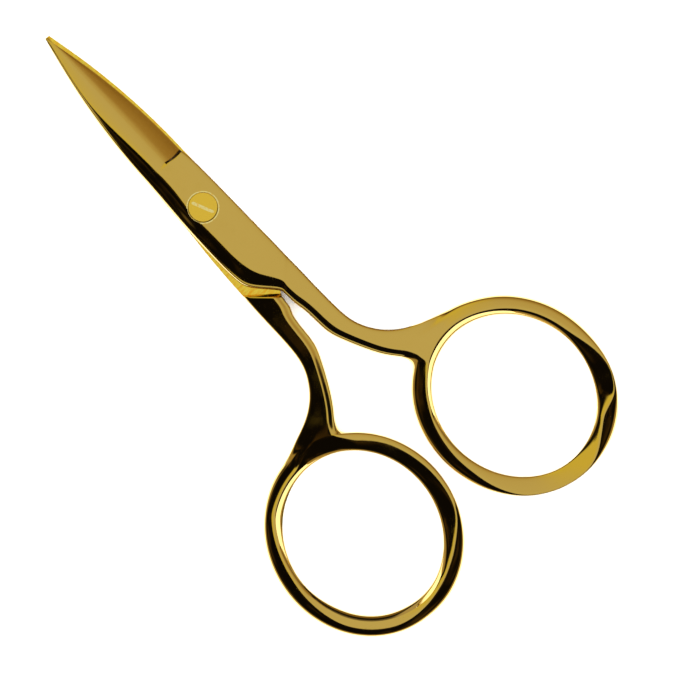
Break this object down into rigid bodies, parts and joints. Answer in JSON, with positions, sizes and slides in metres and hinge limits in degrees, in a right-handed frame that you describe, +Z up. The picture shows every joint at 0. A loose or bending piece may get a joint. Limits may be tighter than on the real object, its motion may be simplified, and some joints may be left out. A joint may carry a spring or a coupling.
{
  "type": "embroidery scissors",
  "caption": "Small gold-coloured embroidery scissors: two forged halves with oval finger rings, crossing at a slotted pivot screw.",
  "frame": {"origin": "on the pivot screw's axis, in the plane of the flat underside that the scissors rest on", "axes": "+Y along the blades towards the tips, +Z up out of the screw's head, +X towards the front half's finger ring"},
  "size_m": [0.0592, 0.1017, 0.0034],
  "materials": {
    "front_half": "polished gold-coloured plating on steel",
    "rear_half": "polished gold-coloured plating on steel",
    "pivot_screw": "satin turned head"
  },
  "bodies": {
    "rear": {"rear_half": "rear_half", "pivot_screw": "pivot_screw"},
    "front": {"front_half": "front_half"}
  },
  "joints": [
    {"name": "pivot", "type": "hinge", "parent": "rear", "child": "front", "pos_m": [0, 0, 0.00258], "axis": [0, 0, 1], "range_deg": [-1, 60]}
  ]
}
